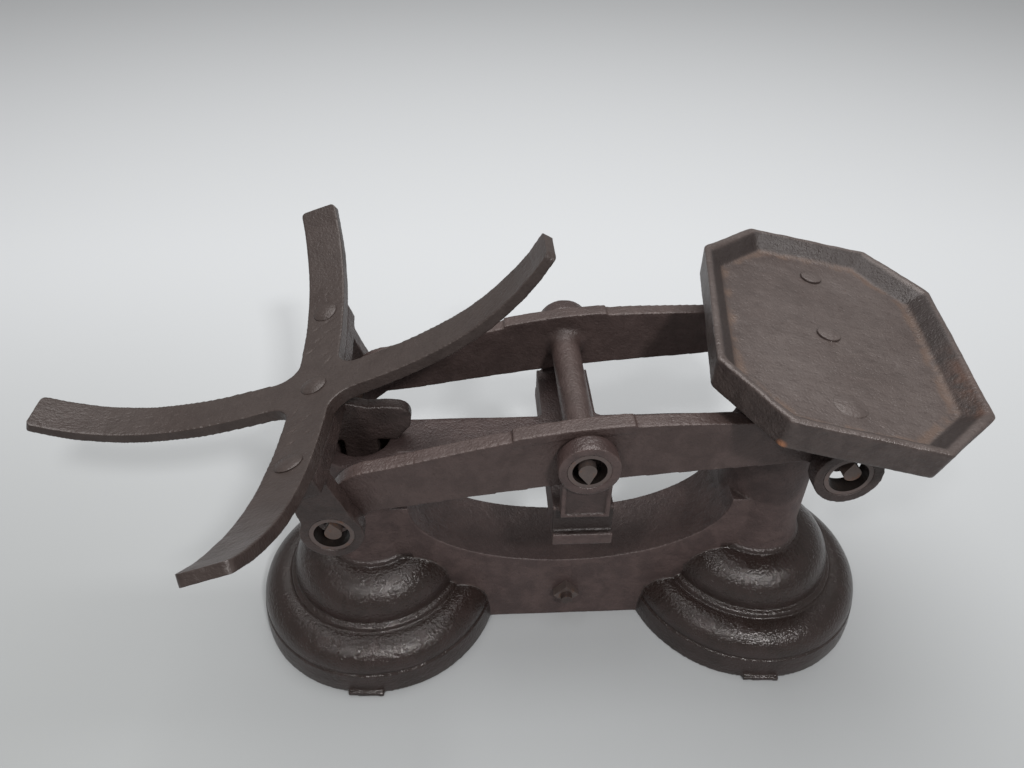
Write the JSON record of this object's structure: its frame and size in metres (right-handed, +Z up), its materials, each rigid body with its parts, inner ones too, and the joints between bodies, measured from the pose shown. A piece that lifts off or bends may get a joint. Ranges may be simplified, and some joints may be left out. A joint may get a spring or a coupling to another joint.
{
  "type": "equal-arm counter balance scale",
  "caption": "Cast-iron counter balance scale: knife-edge beam on a twin-footed base, four-armed spider for a goods pan, octagonal weights plate, and a stay that keeps both carriers upright.",
  "frame": {"origin": "on the bench, midway between the two feet and midway between the front and the back", "axes": "+X towards the weights plate, +Y towards the back, +Z up; the nut of the stay bolt is on the front (-Y) side"},
  "size_m": [0.4277, 0.2533, 0.2202],
  "materials": {
    "base_iron": "old dark paint over rough casting, worn semi-gloss",
    "beam_iron": "rough casting, worn satin",
    "carrier_iron": "rough casting, worn satin",
    "spider_iron": "worn casting, light where hands and pan have rubbed",
    "plate_iron": "worn casting with light rust in the corners",
    "stay_iron": "rough bar, dull",
    "edge_steel": "hardened steel, tarnished brown",
    "bolt_steel": "tarnished steel",
    "rivet_steel": "hammered heads, tarnished",
    "pin_wire": "rusty wire"
  },
  "bodies": {
    "base": {"base_casting": "base_iron", "fulcrum_bearing_front": "edge_steel", "fulcrum_bearing_rear": "edge_steel", "stay_bolt": "bolt_steel", "stay_nut": "bolt_steel", "stay_collar_front": "bolt_steel", "stay_collar_rear": "bolt_steel"},
    "beam": {"beam_casting": "beam_iron", "fulcrum_knife_front": "edge_steel", "fulcrum_knife_rear": "edge_steel", "goods_knife_front": "edge_steel", "goods_knife_rear": "edge_steel", "weights_knife_front": "edge_steel", "weights_knife_rear": "edge_steel"},
    "goods_carrier": {"goods_bearer": "carrier_iron", "goods_bearing_front": "edge_steel", "goods_bearing_rear": "edge_steel", "goods_spider": "spider_iron", "goods_rivets": "rivet_steel", "goods_leg_pin": "bolt_steel", "goods_cotter": "pin_wire"},
    "weights_carrier": {"weights_bearer": "carrier_iron", "weights_bearing_front": "edge_steel", "weights_bearing_rear": "edge_steel", "weights_plate": "plate_iron", "weights_rivets": "rivet_steel", "weights_leg_pin": "bolt_steel", "weights_cotter": "pin_wire"},
    "stay": {"stay_link": "stay_iron"}
  },
  "joints": [
    {"name": "beam_swing", "type": "hinge", "parent": "base", "child": "beam", "pos_m": [0, 0, 0.1375], "axis": [0, 1, 0], "range_deg": [0, 10.5]},
    {"name": "goods_knife_rock", "type": "hinge", "parent": "beam", "child": "goods_carrier", "pos_m": [-0.10907, 0, 0.11907], "axis": [0, 1, 0], "range_deg": [-10.5, 0]},
    {"name": "weights_knife_rock", "type": "hinge", "parent": "beam", "child": "weights_carrier", "pos_m": [0.11029, 0, 0.146], "axis": [0, 1, 0], "range_deg": [-10.5, 0]},
    {"name": "stay_swing", "type": "hinge", "parent": "base", "child": "stay", "pos_m": [0, 0, 0.0217], "axis": [0, 1, 0], "range_deg": [0, 10.5]}
  ],
  "couplings": [
    {"joint": "goods_knife_rock", "follows": "beam_swing", "ratio": -1},
    {"joint": "weights_knife_rock", "follows": "beam_swing", "ratio": -1},
    {"joint": "stay_swing", "follows": "beam_swing", "ratio": 1}
  ]
}
